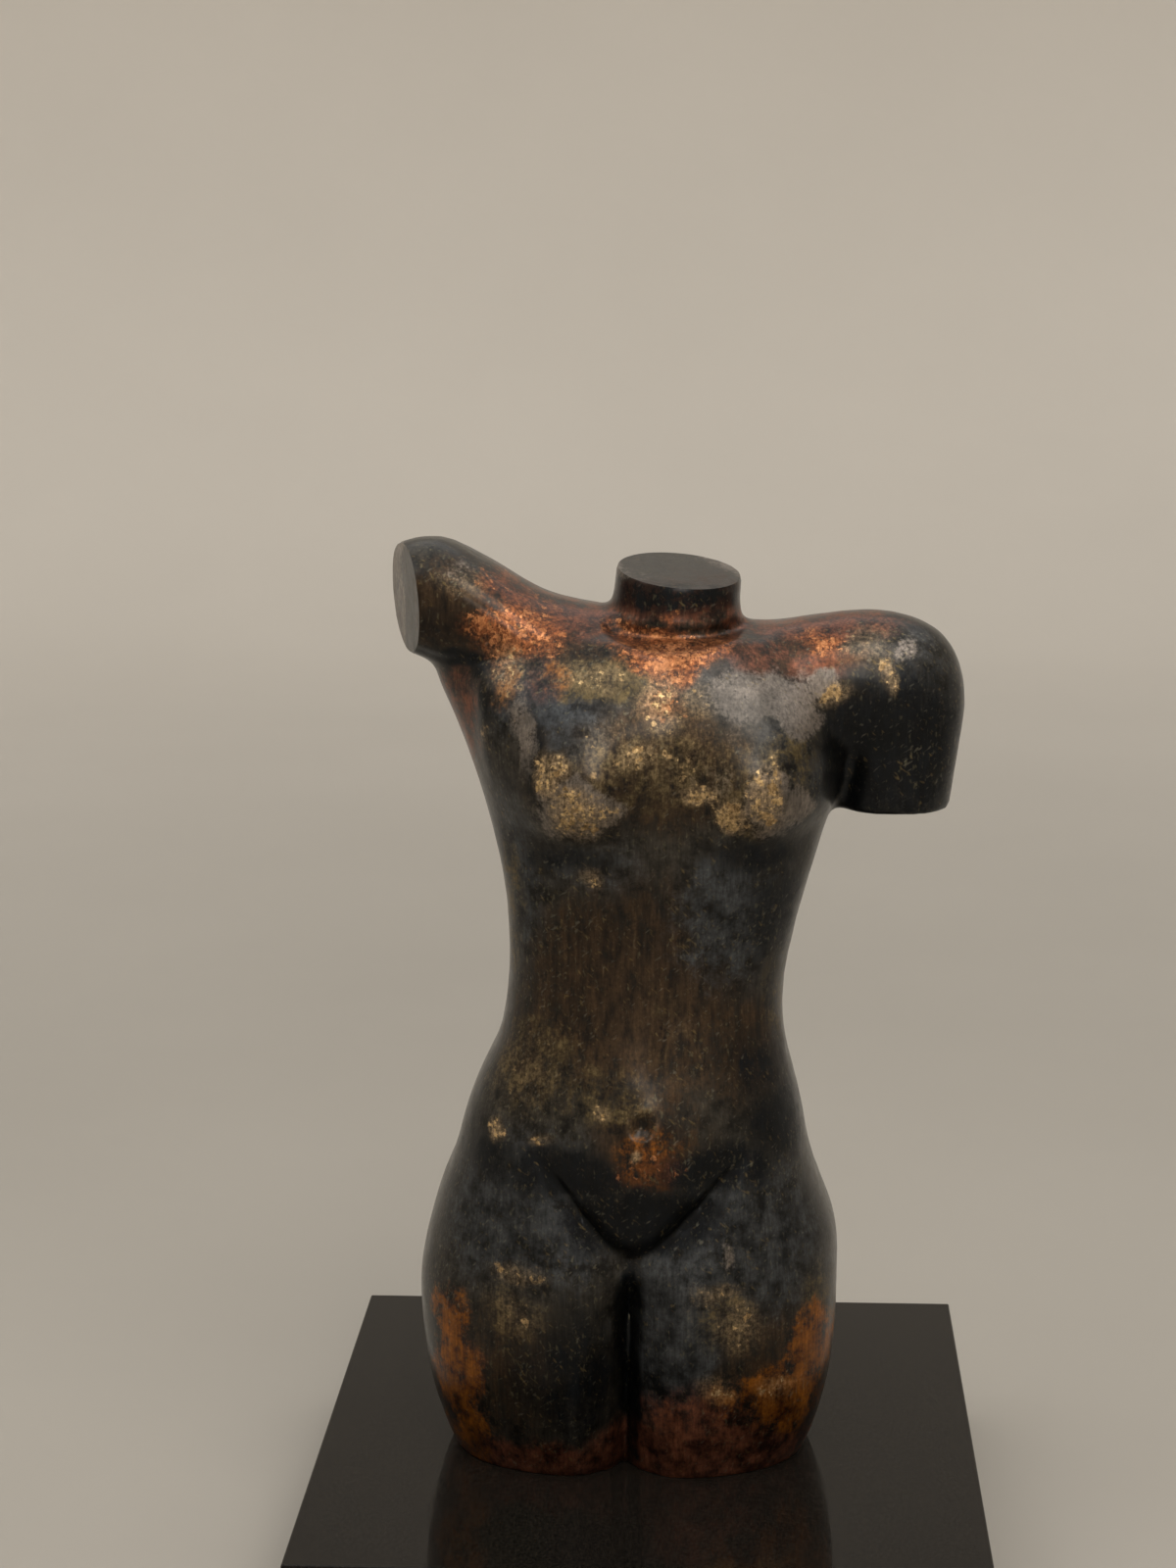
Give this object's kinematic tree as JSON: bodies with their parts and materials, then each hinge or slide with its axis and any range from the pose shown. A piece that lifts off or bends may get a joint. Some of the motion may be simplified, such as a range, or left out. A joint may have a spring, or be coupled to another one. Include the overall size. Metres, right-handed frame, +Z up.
{
  "type": "torso sculpture on plinth",
  "caption": "Headless standing female torso, cast hollow with one raised and one hanging arm cut short, on a low square plinth of polished black stone.",
  "frame": {"origin": "middle of the plinth's underside", "axes": "+Z up, -Y the way the figure faces, +X towards the figure's left"},
  "size_m": [0.4, 0.4, 0.6358],
  "materials": {
    "bronze": "dark patina with gold leaf under gloss lacquer",
    "stone": "polished black"
  },
  "bodies": {
    "root": {"plinth": "stone", "torso": "bronze"}
  },
  "joints": []
}
